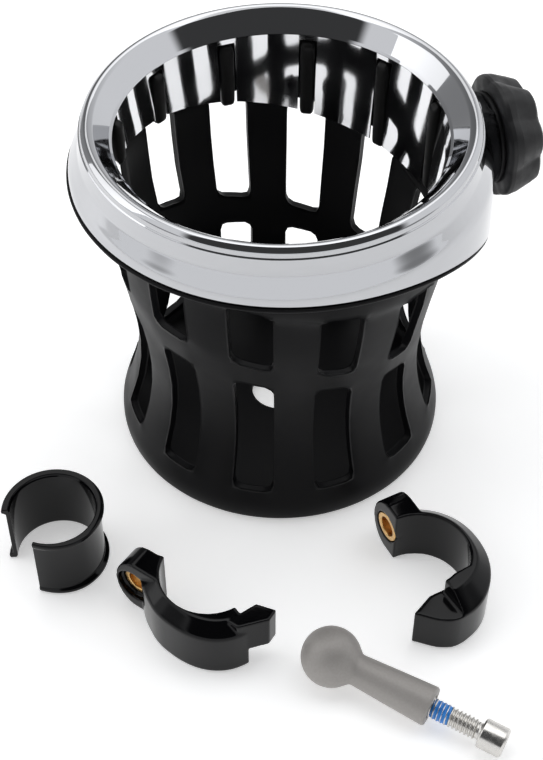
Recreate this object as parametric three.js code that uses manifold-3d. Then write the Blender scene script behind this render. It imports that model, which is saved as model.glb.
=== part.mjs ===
// Side-mounted drink holder, laid out with its bar clamp pieces.
// Millimetres, +Z up, origin on the table under the centre of the cup.
import * as THREE from "three";
import Module from "manifold-3d";
import { mergeVertices } from "three/addons/utils/BufferGeometryUtils.js";

const wasm = await Module();
wasm.setup();

const RAD = Math.PI / 180;

// Cup basket: outside radius against height, wall, floor and drain
const BASKET_OUTSIDE = [[46.4, 0], [47.1, 1.6], [47.1, 4.2], [45.2, 10], [42.6, 18], [41.0, 26],
  [40.5, 34], [41.3, 44], [43.3, 56], [45.0, 66]];
const BASKET_WALL = 2.2;
const BASKET_FLOOR_UNDER = 2.2;
const BASKET_FLOOR_TOP = 5.0;
const DRAIN_RADIUS = 8.2;
const BASKET_NECK_INSIDE = 46.4;
const BASKET_NECK_OUTSIDE = 48.8;
const BASKET_NECK_TOP = 97.0;
const SEGMENTS = 48;

// Windows: two rows of twelve, cut between slanted lines
const WINDOW_COUNT = 12;
const WINDOW_PHASE = 20;
const WINDOW_HALF_ANGLE = 7.4;
const WINDOW_CORNER = 2.4;

// Chrome bezel
const BEZEL_OUTSIDE = 55.3;
const BEZEL_HEM = 92.2;
const BEZEL_DIP = 21.0;
const BEZEL_DIP_WIDTH = 48.0;
const BEZEL_WALL = 1.5;

// Mirror liner inside the mouth, and the rubber grip fins
const LINER_INSIDE = 43.5;
const LINER_OUTSIDE = 44.2;
const LINER_TOP = 100.6;
const FIN_WIDTH = 4.2;
const FIN_TIP_RADIUS = 41.8;
const FIN_BACK_RADIUS = 44.7;
const FIN_TOP = 98.6;
const FIN_SLIT_WIDTH = 5.0;

// Ball socket on the side, and its lobed hand nut
const SOCKET_AZIMUTH = 17;
const SOCKET_HEIGHT = 86;
const BALL_RADIUS = 7.94;

// Loose pieces on the table
const SLEEVE_CENTRE = [-61.2, -59.0];
const SLEEVE_GAP_AZIMUTH = 217;
const SLEEVE_GAP_HALF = 33;
const CLAMP_HEIGHT = 18;
const CLAMP_BORE = 12.9;
const BOLT_OFFSET = 17.6;
const LEFT_CLAMP = { x: -18.9, y: -77.8, turn: -35 };
const RIGHT_CLAMP = { x: 37.2, y: -71.7, turn: 118 };
const STUD = { x: 12.9, y: -97.3, z: 7.98, turn: -28.4, dip: 4.3 };

const group = new THREE.Group();

function bodyFromArrays(points, faces) {
  const geometry = new THREE.BufferGeometry();
  geometry.setAttribute("position", new THREE.Float32BufferAttribute(points.flat(), 3));
  geometry.setIndex(faces.flat());
  return geometry;
}

// A closed outline swept all the way round Z; the outline may change with the angle
function spun(outlineAt, segments = SEGMENTS) {
  const rows = [];
  for (let j = 0; j < segments; j += 1) {
    const angle = (j / segments) * Math.PI * 2;
    rows.push(outlineAt(angle).map(([r, z]) => [r * Math.cos(angle), r * Math.sin(angle), z]));
  }
  const count = rows[0].length;
  const faces = [];
  for (let j = 0; j < segments; j += 1) {
    const k = (j + 1) % segments;
    for (let i = 0; i < count; i += 1) {
      const n = (i + 1) % count;
      faces.push([j * count + i, k * count + i, k * count + n]);
      faces.push([j * count + i, k * count + n, j * count + n]);
    }
  }
  return bodyFromArrays(rows.flat(), faces);
}

// A solid turned about Z from a profile that starts and ends on the axis, lowest point first
function turned(profile, segments = 32) {
  const inner = profile.slice(1, -1);
  const points = [[0, 0, profile[0][1]]];
  for (const [r, z] of inner) {
    for (let j = 0; j < segments; j += 1) {
      const angle = (j / segments) * Math.PI * 2;
      points.push([r * Math.cos(angle), r * Math.sin(angle), z]);
    }
  }
  points.push([0, 0, profile[profile.length - 1][1]]);
  const last = points.length - 1;
  const at = (i, j) => 1 + i * segments + (j % segments);
  const faces = [];
  for (let j = 0; j < segments; j += 1) {
    faces.push([0, at(0, j + 1), at(0, j)]);
    for (let i = 0; i < inner.length - 1; i += 1) {
      faces.push([at(i, j), at(i, j + 1), at(i + 1, j + 1)]);
      faces.push([at(i, j), at(i + 1, j + 1), at(i + 1, j)]);
    }
    faces.push([at(inner.length - 1, j), at(inner.length - 1, j + 1), last]);
  }
  return bodyFromArrays(points, faces);
}

// A part-turn sweep of an outline about Z, capped at both ends
function arcSweep(outlineAt, from, to, segments) {
  const rows = [];
  for (let j = 0; j <= segments; j += 1) {
    const angle = (from + ((to - from) * j) / segments) * RAD;
    rows.push(outlineAt(angle / RAD).map(([r, z]) => [r * Math.cos(angle), r * Math.sin(angle), z]));
  }
  const count = rows[0].length;
  const faces = [];
  for (let j = 0; j < segments; j += 1) {
    for (let i = 0; i < count; i += 1) {
      const n = (i + 1) % count;
      faces.push([j * count + i, (j + 1) * count + i, (j + 1) * count + n]);
      faces.push([j * count + i, (j + 1) * count + n, j * count + n]);
    }
  }
  const flat = outlineAt(from).map(([r, z]) => new THREE.Vector2(r, z));
  for (const [a, b, c] of THREE.ShapeUtils.triangulateShape(flat, [])) {
    const end = segments * count;
    faces.push([a, b, c]);
    faces.push([end + a, end + c, end + b]);
  }
  return bodyFromArrays(rows.flat(), faces);
}

// An upright prism over an outline in X and Y
function prism(corners, bottom, top) {
  const clockwise = THREE.ShapeUtils.area(corners.map(([x, y]) => new THREE.Vector2(x, y))) < 0;
  const outline = clockwise ? [...corners].reverse() : corners;
  const count = outline.length;
  const points = [];
  for (const z of [bottom, top]) {
    for (const [x, y] of outline) points.push([x, y, z]);
  }
  const faces = [];
  for (let i = 0; i < count; i += 1) {
    const n = (i + 1) % count;
    faces.push([i, n, count + n]);
    faces.push([i, count + n, count + i]);
  }
  const flat = outline.map(([x, y]) => new THREE.Vector2(x, y));
  for (const [a, b, c] of THREE.ShapeUtils.triangulateShape(flat, [])) {
    faces.push([a, c, b]);
    faces.push([count + a, count + b, count + c]);
  }
  return bodyFromArrays(points, faces);
}

function circle(radius, count, cx = 0, cy = 0) {
  const points = [];
  for (let i = 0; i < count; i += 1) {
    const angle = (i / count) * Math.PI * 2;
    points.push([cx + radius * Math.cos(angle), cy + radius * Math.sin(angle)]);
  }
  return points;
}

function roundedOutline(corners, radius, steps = 2) {
  const points = [];
  const count = corners.length;
  for (let i = 0; i < count; i += 1) {
    const here = new THREE.Vector2(...corners[i]);
    const before = new THREE.Vector2(...corners[(i + count - 1) % count]).sub(here).normalize();
    const after = new THREE.Vector2(...corners[(i + 1) % count]).sub(here).normalize();
    const start = here.clone().addScaledVector(before, radius);
    const end = here.clone().addScaledVector(after, radius);
    for (let s = 0; s <= steps; s += 1) {
      const t = s / steps;
      const x = (1 - t) ** 2 * start.x + 2 * t * (1 - t) * here.x + t * t * end.x;
      const y = (1 - t) ** 2 * start.y + 2 * t * (1 - t) * here.y + t * t * end.y;
      points.push([x, y]);
    }
  }
  return points;
}

// Moves a body so its own X, Y and Z run along the given directions
function placed(geometry, origin, xAxis, yAxis, zAxis) {
  const matrix = new THREE.Matrix4().makeBasis(xAxis, yAxis, zAxis);
  matrix.setPosition(new THREE.Vector3(...origin));
  return geometry.clone().applyMatrix4(matrix);
}

function toManifold(geometry) {
  let clean = geometry.clone();
  clean.deleteAttribute("normal");
  clean.deleteAttribute("uv");
  clean = mergeVertices(clean, 1e-5);
  const mesh = new wasm.Mesh({
    numProp: 3,
    vertProperties: new Float32Array(clean.attributes.position.array),
    triVerts: new Uint32Array(clean.index.array),
  });
  return new wasm.Manifold(mesh);
}

function fromManifold(manifold) {
  const mesh = manifold.getMesh();
  const geometry = new THREE.BufferGeometry();
  geometry.setAttribute("position", new THREE.Float32BufferAttribute(mesh.vertProperties, 3));
  geometry.setIndex(Array.from(mesh.triVerts));
  return geometry;
}

function joined(...geometries) {
  return fromManifold(geometries.map(toManifold).reduce((a, b) => a.add(b)));
}

function cut(body, ...tools) {
  return fromManifold(tools.map(toManifold).reduce((a, b) => a.subtract(b), toManifold(body)));
}

function add(name, geometry) {
  const mesh = new THREE.Mesh(geometry, new THREE.MeshStandardMaterial());
  mesh.name = name;
  group.add(mesh);
}

const UP = new THREE.Vector3(0, 0, 1);
const radial = (azimuth) => new THREE.Vector3(Math.cos(azimuth * RAD), Math.sin(azimuth * RAD), 0);
const sideways = (azimuth) => new THREE.Vector3(-Math.sin(azimuth * RAD), Math.cos(azimuth * RAD), 0);

// Slanted lines that run round the basket
const linerBottomAt = (x, y) => 78.4 - 0.2 * x - 0.02 * y;
const upperBottomAt = (x, y) => 50.5 - 0.24 * x - 0.15 * y;
const lowerTopAt = (x, y) => 42.5 - 0.18 * x - 0.16 * y;
const LOWER_BOTTOM = 10.2;

function angleBetween(a, b) {
  const turn = ((a - b + 540) % 360) - 180;
  return Math.abs(turn);
}

// Height of the bezel's lower edge, which dips round the ball socket
function hemAt(angle) {
  const away = angleBetween(angle / RAD, SOCKET_AZIMUTH);
  return BEZEL_HEM - BEZEL_DIP * Math.exp(-((away / BEZEL_DIP_WIDTH) ** 2));
}

// The windows stop below the flange, which dips on the socket side
function upperTopAt(x, y) {
  return Math.min(linerBottomAt(x, y) + 1.0, hemAt(Math.atan2(y, x)) - 5.0);
}

function basketOutline(angle) {
  const x = LINER_OUTSIDE * Math.cos(angle);
  const y = LINER_OUTSIDE * Math.sin(angle);
  const ledge = linerBottomAt(x, y) - 0.5;
  const hem = hemAt(angle) - 0.35;
  const outside = BASKET_OUTSIDE.map(([r, z]) => [r, Math.min(z, ledge - 4)]);
  const neckStart = Math.min(hem - 3.4, ledge + 1.5);
  const outline = [[DRAIN_RADIUS, BASKET_FLOOR_UNDER], [40.5, BASKET_FLOOR_UNDER], [43.0, 0]];
  outline.push(...outside);
  outline.push([45.4, ledge - 2.6]);
  outline.push([47.2, Math.min(ledge, neckStart)]);
  outline.push([BASKET_NECK_OUTSIDE, hem - 2.0]);
  outline.push([54.6, hem - 1.5]);
  outline.push([55.3, hem - 1.2]);
  outline.push([55.3, hem]);
  outline.push([BASKET_NECK_OUTSIDE, hem]);
  outline.push([BASKET_NECK_OUTSIDE, BASKET_NECK_TOP]);
  outline.push([BASKET_NECK_INSIDE, BASKET_NECK_TOP]);
  outline.push([BASKET_NECK_INSIDE, ledge]);
  outline.push([42.0, ledge]);
  for (const [r, z] of [...outside].reverse()) {
    if (z > BASKET_FLOOR_TOP + 1) outline.push([r - BASKET_WALL, z]);
  }
  outline.push([41.6, BASKET_FLOOR_TOP]);
  outline.push([DRAIN_RADIUS, BASKET_FLOOR_TOP]);
  return outline;
}

// A window cutter pointing outward at one azimuth
function windowCutter(azimuth, bottomRadius, topRadius, bottomAt, topAt) {
  const out = radial(azimuth);
  const side = sideways(azimuth);
  const corner = (hand, radius, lineAt) => {
    const s = hand * radius * Math.sin(WINDOW_HALF_ANGLE * RAD);
    const x = out.x * radius + side.x * s;
    const y = out.y * radius + side.y * s;
    return [s, lineAt(x, y)];
  };
  const corners = [corner(-1, bottomRadius, bottomAt), corner(1, bottomRadius, bottomAt),
    corner(1, topRadius, topAt), corner(-1, topRadius, topAt)];
  const outline = roundedOutline(corners, WINDOW_CORNER, 2);
  const shape = prism(outline, 0, 24);
  return placed(shape, [out.x * 32, out.y * 32, 0], side, UP, out);
}

function basket() {
  const cutters = [];
  for (let i = 0; i < WINDOW_COUNT; i += 1) {
    const azimuth = WINDOW_PHASE + (360 / WINDOW_COUNT) * i;
    cutters.push(windowCutter(azimuth, 42, 45.4, upperBottomAt, upperTopAt));
    cutters.push(windowCutter(azimuth, 45, 41, () => LOWER_BOTTOM, lowerTopAt));
  }
  return cut(spun(basketOutline), ...cutters);
}

function bezelOutline(angle) {
  const hem = hemAt(angle);
  const outer = [];
  const inner = [];
  for (const t of [1, 0.66, 0.33]) {
    const z = 93.4 + (hem - 93.4) * t;
    const swell = BEZEL_OUTSIDE + Math.min(0.9, (93.4 - z) * 0.06);
    outer.push([swell, z]);
    inner.push([swell - BEZEL_WALL, z]);
  }
  return [
    ...outer,
    [55.0, 94.2], [54.0, 96.2], [52.3, 99.3], [51.6, 104.2], [51.3, 105.0], [50.6, 106.1], [49.4, 106.6],
    [47.9, 105.9], [45.6, 103.2], [44.0, 101.5], [43.3, 101.2], [43.3, 100.9], [44.8, 101.0], [47.6, 104.2],
    [49.4, 105.0], [50.2, 103.8], [50.8, 98.7], [52.4, 95.8], [53.5, 94.2],
    ...inner.reverse(),
  ];
}

function socketCylinder(radius, from, to, sides = 32) {
  const out = radial(SOCKET_AZIMUTH);
  const shape = prism(circle(radius, sides), from, to);
  return placed(shape, [0, 0, SOCKET_HEIGHT], sideways(SOCKET_AZIMUTH), UP, out);
}

function bezel() {
  const shell = spun(bezelOutline);
  const pad = cut(socketCylinder(13, 53.4, 57.3), socketCylinder(11, 40, 70));
  return cut(joined(shell, pad), socketCylinder(11, 45, 70));
}

function liner() {
  const outline = (angle) => {
    const x = LINER_OUTSIDE * Math.cos(angle);
    const y = LINER_OUTSIDE * Math.sin(angle);
    const bottom = linerBottomAt(x, y);
    return [[LINER_OUTSIDE, bottom], [LINER_OUTSIDE, LINER_TOP], [LINER_INSIDE, LINER_TOP],
      [LINER_INSIDE, bottom]];
  };
  const slits = [];
  for (let i = 0; i < WINDOW_COUNT; i += 1) {
    const azimuth = WINDOW_PHASE + (360 / WINDOW_COUNT) * i;
    const out = radial(azimuth);
    const half = FIN_SLIT_WIDTH / 2;
    const shape = prism([[-half, 60], [half, 60], [half, FIN_TOP + 0.4], [-half, FIN_TOP + 0.4]], 0, 8);
    slits.push(placed(shape, [out.x * 40, out.y * 40, 0], sideways(azimuth), UP, out));
  }
  return cut(spun(outline), ...slits);
}

function carrier() {
  return spun(() => [[46.05, 95.4], [46.05, 99.6], [45.15, 99.6], [45.15, 95.4]], 48);
}

// A rounded vertical rubber finger; its root is at the top
function fin(azimuth) {
  const out = radial(azimuth);
  const line = linerBottomAt(out.x * 43, out.y * 43);
  const window = upperTopAt(out.x * 43, out.y * 43);
  const tip = window > line ? line - 1.6 : line + 0.3;
  const half = FIN_WIDTH / 2;
  const depth = FIN_BACK_RADIUS - FIN_TIP_RADIUS;
  const nose = [[half, depth], [half, 1.2], [half * 0.7, 0.35], [0, 0], [-half * 0.7, 0.35], [-half, 1.2],
    [-half, depth]];
  const body = prism(nose, tip, FIN_TOP);
  const soften = [[depth + 1, tip - 1], [-1, tip - 1], [-1, tip + 1.8], [0.2, tip + 0.8], [1.6, tip], [depth + 1, tip]];
  const top = [[-1, FIN_TOP + 1], [-1, FIN_TOP - 2.2], [0.3, FIN_TOP - 0.9], [1.8, FIN_TOP], [depth + 1, FIN_TOP],
    [depth + 1, FIN_TOP + 1]];
  const wedge = (outline) => placed(prism(outline, -4, 4), [0, 0, 0], new THREE.Vector3(0, 1, 0), UP,
    new THREE.Vector3(1, 0, 0));
  const shaped = cut(body, wedge(soften), wedge(top));
  const side = sideways(azimuth);
  return placed(shaped, [out.x * FIN_TIP_RADIUS, out.y * FIN_TIP_RADIUS, 0], side.negate(), out, UP);
}

// Split ball socket: flange against the neck, then four threaded fingers round the ball
function ballSocket() {
  const profile = [[0, 49.1], [12.5, 49.1], [12.5, 52.0], [9.6, 52.0], [9.6, 68.0], [8.6, 69.9], [7.0, 69.9],
    [7.9, 66.9], [8.2, 64.1], [7.6, 60.9], [6.4, 58.9], [0, 58.3]];
  const body = turned(profile, 24);
  const slits = [];
  for (let i = 0; i < 4; i += 1) {
    const turn = new THREE.Matrix4().makeRotationZ((45 + 90 * i) * RAD);
    slits.push(prism([[3, -0.7], [13, -0.7], [13, 0.7], [3, 0.7]], 56.7, 75).applyMatrix4(turn));
  }
  const flat = prism([[-20, 5.8], [20, 5.8], [20, 20], [-20, 20]], 40, 52.1);
  const split = cut(body, flat, ...slits);
  return placed(split, [0, 0, SOCKET_HEIGHT], sideways(SOCKET_AZIMUTH), UP, radial(SOCKET_AZIMUTH));
}

function thrustCollar() {
  return cut(socketCylinder(12.6, 57.4, 58.5), socketCylinder(10.1, 50, 70));
}

function lobedOutline(radius, depth, lobes, count) {
  const points = [];
  for (let i = 0; i < count; i += 1) {
    const angle = (i / count) * Math.PI * 2;
    const wave = Math.cos(angle * lobes);
    const r = radius - depth * (1 - Math.sqrt(Math.max(0, (1 + wave) / 2))) ** 1.4;
    points.push([r * Math.cos(angle), r * Math.sin(angle)]);
  }
  return points;
}

function clampKnob() {
  const rows = [[0.95, 58.6], [1.0, 59.6], [0.99, 61.4], [0.9, 65.8], [0.83, 68.5], [0.77, 69.2]];
  const ring = lobedOutline(16.8, 1.9, 7, 56);
  const points = [];
  for (const [scale, z] of rows) {
    for (const [x, y] of ring) points.push([x * scale, y * scale, z]);
  }
  const count = ring.length;
  const faces = [];
  for (let i = 0; i < rows.length - 1; i += 1) {
    for (let j = 0; j < count; j += 1) {
      const n = (j + 1) % count;
      faces.push([i * count + j, i * count + n, (i + 1) * count + n]);
      faces.push([i * count + j, (i + 1) * count + n, (i + 1) * count + j]);
    }
  }
  const low = points.push([0, 0, rows[0][1]]) - 1;
  const high = points.push([0, 0, rows[rows.length - 1][1]]) - 1;
  const lastRow = (rows.length - 1) * count;
  for (let j = 0; j < count; j += 1) {
    const n = (j + 1) % count;
    faces.push([low, n, j]);
    faces.push([high, lastRow + j, lastRow + n]);
  }
  const bore = turned([[0, 56], [9.95, 56], [9.95, 68.3], [9.0, 70.4], [9.0, 74], [0, 74]], 32);
  const body = cut(bodyFromArrays(points, faces), bore);
  return placed(body, [0, 0, SOCKET_HEIGHT], sideways(SOCKET_AZIMUTH), UP, radial(SOCKET_AZIMUTH));
}

const blend = (a, b, t) => a + (b - a) * Math.min(1, Math.max(0, t));

// Reducer sleeve: a split tube with a lip at each end, which fades out towards one edge of the gap
function reducerSleeve() {
  const first = SLEEVE_GAP_AZIMUTH + SLEEVE_GAP_HALF;
  const outline = (angle) => {
    const lip = blend(12.9, 13.8, (angle - first) / 60);
    return [[11.5, 0.9], [11.9, 0.05], [lip - 0.3, 0.05], [lip, 0.6], [lip, 1.4], [12.7, 2.0],
      [12.7, 19.0], [lip, 19.6], [lip, 20.4], [lip - 0.3, 21.0], [11.9, 21.0], [11.5, 20.1]];
  };
  const body = arcSweep(outline, first, first + 360 - 2 * SLEEVE_GAP_HALF, 40);
  return body.translate(SLEEVE_CENTRE[0], SLEEVE_CENTRE[1], 0);
}

function clampOutline(inner, outer) {
  const chamfer = 3.6;
  return [[inner, 0.05], [outer - 0.6, 0.05], [outer, 0.6], [outer, CLAMP_HEIGHT - 3.4],
    [outer - chamfer, CLAMP_HEIGHT], [inner, CLAMP_HEIGHT]];
}

// Ear of a clamp half: a plate with a rounded end, standing on the parting face
function clampEar(sign, nearT, farT, backN, frontN) {
  const centre = 17.3;
  const reach = farT - centre;
  const outline = [[nearT, 0.05], [centre, 0.05]];
  for (let i = 1; i < 12; i += 1) {
    const angle = -90 + 15 * i;
    const z = CLAMP_HEIGHT / 2 + (CLAMP_HEIGHT / 2 - 0.05) * Math.sin(angle * RAD);
    outline.push([centre + reach * Math.cos(angle * RAD), z]);
  }
  outline.push([centre, CLAMP_HEIGHT], [nearT, CLAMP_HEIGHT]);
  const shape = prism(outline.map(([t, z]) => [sign * t, z]), 0, frontN - backN);
  return placed(shape, [0, frontN, 0], new THREE.Vector3(1, 0, 0), UP, new THREE.Vector3(0, -1, 0));
}

function alongBolt(radius, t, fromN, toN, sides = 24) {
  const shape = prism(circle(radius, sides), 0, toN - fromN);
  return placed(shape, [t, toN, CLAMP_HEIGHT / 2], new THREE.Vector3(1, 0, 0), UP,
    new THREE.Vector3(0, -1, 0));
}

function onTable(geometry, spot) {
  const turn = new THREE.Matrix4().makeRotationZ(spot.turn * RAD);
  turn.setPosition(spot.x, spot.y, 0);
  return geometry.clone().applyMatrix4(turn);
}

function leftClampHalf() {
  const outer = (angle) => 17.0 + blend(0, 2.6, (angle - 265) / 60) + blend(0, 1.2, (240 - angle) / 35);
  const arc = arcSweep((angle) => clampOutline(CLAMP_BORE, outer(angle)), 192, 338, 24);
  const ear = clampEar(-1, 9, 23.6, -10.2, -3.1);
  const hook = prism([[13.2, -9.8], [16.4, -9.8], [21.6, -3.2], [21.3, 0.4], [15.9, -1.0], [14.6, -4.6]],
    7, CLAMP_HEIGHT);
  const body = joined(arc, ear, hook);
  const bore = prism(circle(CLAMP_BORE, 60), -5, CLAMP_HEIGHT + 5);
  const bolt = alongBolt(4.6, -BOLT_OFFSET, -12, 0);
  const recess = alongBolt(5.9, -BOLT_OFFSET, -26, -8.6);
  return onTable(cut(body, bore, bolt, recess), LEFT_CLAMP);
}

function rightClampHalf() {
  const inner = (angle) => blend(CLAMP_BORE, 10.2, (angle * -1 - 125) / 35);
  const outer = (angle) => blend(17.4, 19.6, (angle * -1 - 90) / 70);
  const arc = arcSweep((angle) => clampOutline(inner(angle), outer(angle)), -176, 0, 30);
  const ear = clampEar(1, 9, 24.2, -7.2, -0.02);
  const tongue = prism([[-9.7, -3.2], [-19.4, -4.0], [-19.6, -0.9], [-18.5, 2.6], [-15.8, 6.4], [-12.4, 9.9],
    [-9.7, 3.3]], 0.05, CLAMP_HEIGHT - 5);
  const body = joined(arc, ear, tongue);
  const bore = prism([...circle(CLAMP_BORE, 60)].filter(([t]) => t > -9.2), -5, CLAMP_HEIGHT + 5);
  const bolt = alongBolt(4.6, BOLT_OFFSET, -26, 4);
  return onTable(cut(body, bore, bolt), RIGHT_CLAMP);
}

function bush(t, fromN, toN, spot) {
  return onTable(cut(alongBolt(4.3, t, fromN, toN), alongBolt(2.9, t, fromN - 3, toN + 3)), spot);
}

// Everything on the stud's own line: distance is counted from the ball centre towards the bolt head
function onStud(geometry) {
  const flat = radial(STUD.turn);
  const along = flat.clone().multiplyScalar(Math.cos(STUD.dip * RAD));
  along.z = -Math.sin(STUD.dip * RAD);
  const side = sideways(STUD.turn);
  const upward = new THREE.Vector3().crossVectors(along, side);
  return placed(geometry, [STUD.x, STUD.y, STUD.z], side, upward, along);
}

function ballStud() {
  const profile = [[0, -BALL_RADIUS]];
  for (let i = 1; i <= 11; i += 1) {
    const angle = (-90 + i * 12.4) * RAD;
    profile.push([BALL_RADIUS * Math.cos(angle), BALL_RADIUS * Math.sin(angle)]);
  }
  profile.push([4.1, 7.6], [4.15, 9.4], [4.6, 17], [5.25, 28.0], [4.85, 28.5], [3.2, 28.5], [3.2, 16.4],
    [0, 15.0]);
  return onStud(turned(profile, 28));
}

function clampBolt() {
  const profile = [[0, 20.0], [2.0, 20.0], [2.35, 20.6], [2.35, 33.9], [2.7, 34.2], [2.7, 42.2], [3.6, 42.2],
    [3.95, 42.7], [3.95, 48.3], [3.45, 48.8], [0, 48.8]];
  const socket = prism(circle(2.35, 6), 45.2, 52);
  return onStud(cut(turned(profile, 28), socket));
}

function lockPatch() {
  return onStud(cut(prism(circle(2.85, 28), 28.9, 33.6), prism(circle(2.42, 28), 26, 36)));
}

add("basket", basket());
add("bezel_ring", bezel());
add("mirror_liner", liner());
add("fin_carrier", carrier());
for (let i = 0; i < WINDOW_COUNT; i += 1) {
  const label = String(i + 1).padStart(2, "0");
  add(`grip_fin_${label}`, fin(WINDOW_PHASE + (360 / WINDOW_COUNT) * i));
}
add("ball_socket", ballSocket());
add("thrust_collar", thrustCollar());
add("clamp_knob", clampKnob());
add("reducer_sleeve", reducerSleeve());
add("clamp_half_left", leftClampHalf());
add("bush_left", bush(-BOLT_OFFSET, -8.3, -3.4, LEFT_CLAMP));
add("clamp_half_right", rightClampHalf());
add("bush_right", bush(BOLT_OFFSET, -6.9, -0.2, RIGHT_CLAMP));
add("ball_stud", ballStud());
add("clamp_bolt", clampBolt());
add("lock_patch", lockPatch());

export default group;
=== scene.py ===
"""Side-mounted drink holder with its loose bar clamp kit: the looks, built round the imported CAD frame."""
import math

import bpy
from mathutils import Matrix, Vector


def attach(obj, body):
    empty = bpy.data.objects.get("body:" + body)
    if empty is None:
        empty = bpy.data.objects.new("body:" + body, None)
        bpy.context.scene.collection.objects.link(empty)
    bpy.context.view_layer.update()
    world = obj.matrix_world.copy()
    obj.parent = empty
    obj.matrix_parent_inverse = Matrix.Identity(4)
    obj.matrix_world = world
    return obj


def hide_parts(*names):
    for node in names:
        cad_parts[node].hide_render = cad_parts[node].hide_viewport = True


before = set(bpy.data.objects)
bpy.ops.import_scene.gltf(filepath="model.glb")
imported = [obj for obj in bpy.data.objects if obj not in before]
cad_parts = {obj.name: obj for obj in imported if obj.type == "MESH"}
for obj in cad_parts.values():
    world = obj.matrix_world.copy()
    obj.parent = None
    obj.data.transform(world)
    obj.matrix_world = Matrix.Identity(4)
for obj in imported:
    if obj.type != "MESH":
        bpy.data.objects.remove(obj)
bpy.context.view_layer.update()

MM = 0.001
WINDOWS = 12
WINDOW_STEP = 30.0
WINDOW_PHASE = 20.0
WINDOW_HALF_ANGLE = 7.4
WINDOW_CORNER = 2.4
WINDOW_SILL = 10.2
BASKET_WALL = 2.2
DRAIN_RADIUS = 8.2
SOCKET_AZIMUTH = 17.0
SOCKET_HEIGHT = 86.0
LINER_OUTSIDE = 44.2
FIN_NOSE = 41.8
TABLE_GAP = 0.05
CLAMP_HEIGHT = 18.0
BAR_SEAT = 12.9
BOLT_OFFSET = 17.6
BOLT_HOLE = 4.6
BOLT_RECESS = 5.3
LEFT_CLAMP = (-18.9, -77.8, -35.0)
RIGHT_CLAMP = (37.2, -71.7, 118.0)
SLEEVE_CENTRE = (-61.2, -59.0)
SLEEVE_GAP = (217.0, 33.0)
STUD_ORIGIN = (12.9, -97.3, 7.98)
STUD_TURN = -28.4
STUD_DIP = 4.3
THREAD_PITCH = 1.1


# ---------------------------------------------------------------- curves and sections

def smoothstep(t):
    t = min(1.0, max(0.0, t))
    return t * t * (3 - 2 * t)


def mix(a, b, t):
    return a + (b - a) * t


def spline(knots):
    """A smooth function through (x, y) knots, level past its ends."""
    xs = [k[0] for k in knots]
    ys = [k[1] for k in knots]
    slopes = []
    for i in range(len(xs)):
        lo, hi = max(0, i - 1), min(len(xs) - 1, i + 1)
        slopes.append((ys[hi] - ys[lo]) / (xs[hi] - xs[lo]))

    def value(x):
        if x <= xs[0]:
            return ys[0]
        if x >= xs[-1]:
            return ys[-1]
        i = max(j for j in range(len(xs) - 1) if xs[j] <= x)
        h = xs[i + 1] - xs[i]
        t = (x - xs[i]) / h
        a = (1 + 2 * t) * (1 - t) ** 2 * ys[i] + t * t * (3 - 2 * t) * ys[i + 1]
        return a + t * (1 - t) ** 2 * h * slopes[i] - t * t * (1 - t) * h * slopes[i + 1]

    return value


def rounded(corners, steps=5, closed=True):
    """An outline with each (x, y, radius) corner turned into an arc of steps + 1 points."""
    points = []
    count = len(corners)
    for i, (x, y, radius) in enumerate(corners):
        here = Vector((x, y))
        if not closed and i in (0, count - 1):
            points.append((x, y))
            continue
        back = Vector(corners[i - 1][:2]) - here
        ahead = Vector(corners[(i + 1) % count][:2]) - here
        half = back.angle(ahead) / 2
        if radius <= 0 or half > math.pi / 2 - 0.01:
            points.append((x, y))
            continue
        reach = min(radius / math.tan(half), back.length * 0.49, ahead.length * 0.49)
        radius = reach * math.tan(half)
        start = here + back.normalized() * reach
        end = here + ahead.normalized() * reach
        centre = here + (back.normalized() + ahead.normalized()).normalized() * (radius / math.sin(half))
        a, b = start - centre, end - centre
        swing = a.angle_signed(b)
        for s in range(steps + 1):
            turned = Matrix.Rotation(-swing * s / steps, 2) @ a
            points.append(tuple(centre + turned))
    return points


# ---------------------------------------------------------------- mesh makers

def mesh_object(name, points, faces, body, stands_for=(), material=None, smooth=40.0):
    """A mesh from points in millimetres, riding on a CAD body."""
    data = bpy.data.meshes.new(name)
    data.from_pydata([tuple(c * MM for c in p) for p in points], [], faces)
    data.validate()
    obj = bpy.data.objects.new(name, data)
    bpy.context.scene.collection.objects.link(obj)
    finish_object(obj, body, stands_for, material, smooth)
    return obj


def finish_object(obj, body, stands_for=(), material=None, smooth=40.0):
    shade(obj, smooth)
    if material:
        obj.data.materials.clear()
        obj.data.materials.append(material)
    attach(obj, body)
    if stands_for:
        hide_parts(*stands_for)


def shade(obj, degrees):
    for polygon in obj.data.polygons:
        polygon.use_smooth = True
    obj.data.set_sharp_from_angle(angle=math.radians(degrees))


def soften_edges(obj, width, segments, sharper_than):
    """Rounds the edges that are sharper than an angle in degrees."""
    edge = obj.modifiers.new("edge", "BEVEL")
    edge.width = width * MM
    edge.segments = segments
    edge.limit_method = "ANGLE"
    edge.angle_limit = math.radians(sharper_than)
    return edge


def apply_modifiers(obj):
    """Bakes an object's modifiers into its mesh."""
    graph = bpy.context.evaluated_depsgraph_get()
    data = bpy.data.meshes.new_from_object(obj.evaluated_get(graph))
    obj.modifiers.clear()
    obj.data = data


def placed_round(section_at, angles):
    """Points of the sections set round Z, and how many points each has."""
    points, count = [], 0
    for angle in angles:
        c, s = math.cos(math.radians(angle)), math.sin(math.radians(angle))
        section = section_at(angle)
        count = len(section)
        points.extend((r * c, r * s, z) for r, z in section)
    return points, count


def ring_of_sections(section_at, angles):
    """Closed sections carried all the way round Z: (points, faces), outward facing."""
    points, count = placed_round(section_at, angles)
    faces = []
    turns = len(angles)
    for j in range(turns):
        k = (j + 1) % turns
        for i in range(count):
            n = (i + 1) % count
            faces.append((j * count + i, k * count + i, k * count + n, j * count + n))
    return points, faces


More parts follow.
